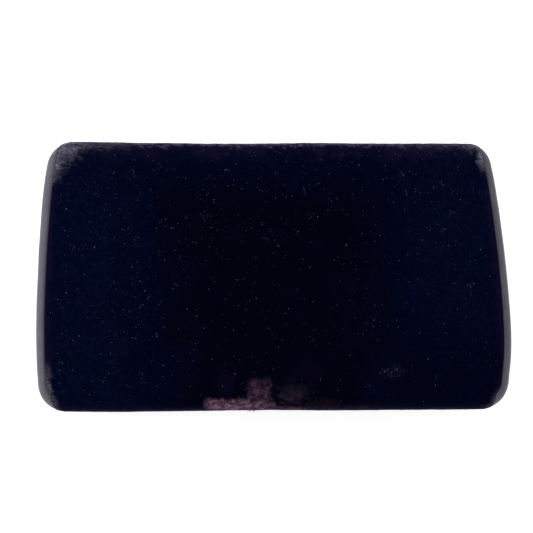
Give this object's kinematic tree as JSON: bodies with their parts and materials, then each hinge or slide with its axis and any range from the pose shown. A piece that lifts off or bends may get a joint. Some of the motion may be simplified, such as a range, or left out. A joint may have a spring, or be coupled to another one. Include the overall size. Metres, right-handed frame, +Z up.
{
  "type": "rosin case with rosin cake",
  "caption": "Velvet-covered clamshell case for bow rosin, with a hinged lid, smooth end panels, a padded lid lining and a bar of rosin in a flocked cradle.",
  "frame": {"origin": "under the middle of the closed case, on the plane it stands on", "axes": "+X along the case to its right end, +Y to the hinge at the back, -Y to the opening front, +Z up"},
  "size_m": [0.096, 0.0542, 0.026],
  "materials": {
    "velvet": "short cut pile, near-black navy, rubbed paler at the corners and the front",
    "end_panel": "smooth leathercloth with a fine grain and a satin sheen, dark violet-grey",
    "shell": "moulded, dark, faintly textured",
    "collar": "dark cloth-covered lip, fine weave",
    "flocking": "dark navy flocking",
    "felt": "pressed felt, dark navy",
    "holder_wood": "oiled beech, straight grain",
    "rosin": "clear amber rosin, glossy, dusted pale where the bow runs",
    "hinge_brass": "rolled brass, lightly tarnished",
    "rivet_brass": "set brass rivet heads",
    "pin_steel": "drawn steel wire",
    "magnet_nickel": "nickel-plated discs",
    "satin_lining": "soft navy satin",
    "card": "grey board"
  },
  "bodies": {
    "base": {"base_shell": "shell", "base_velvet_cover": "velvet", "base_left_end_panel": "end_panel", "base_right_end_panel": "end_panel", "base_collar": "collar", "cradle_block": "flocking", "cradle_felt": "felt", "rosin_holder": "holder_wood", "rosin_cake": "rosin", "hinge_base_leaf": "hinge_brass", "hinge_pin": "pin_steel", "base_hinge_rivets": "rivet_brass", "base_magnets": "magnet_nickel"},
    "lid": {"lid_shell": "shell", "lid_velvet_cover": "velvet", "lid_left_end_panel": "end_panel", "lid_right_end_panel": "end_panel", "hinge_lid_leaf": "hinge_brass", "lid_hinge_rivets": "rivet_brass", "lid_magnets": "magnet_nickel", "lid_wall_lining": "satin_lining", "lid_lining_card": "card", "lid_pad": "satin_lining"}
  },
  "joints": [
    {"name": "lid_hinge", "type": "hinge", "parent": "base", "child": "lid", "pos_m": [0, 0.0259, 0.0135], "axis": [-1, 0, 0], "range_deg": [0, 98]}
  ]
}
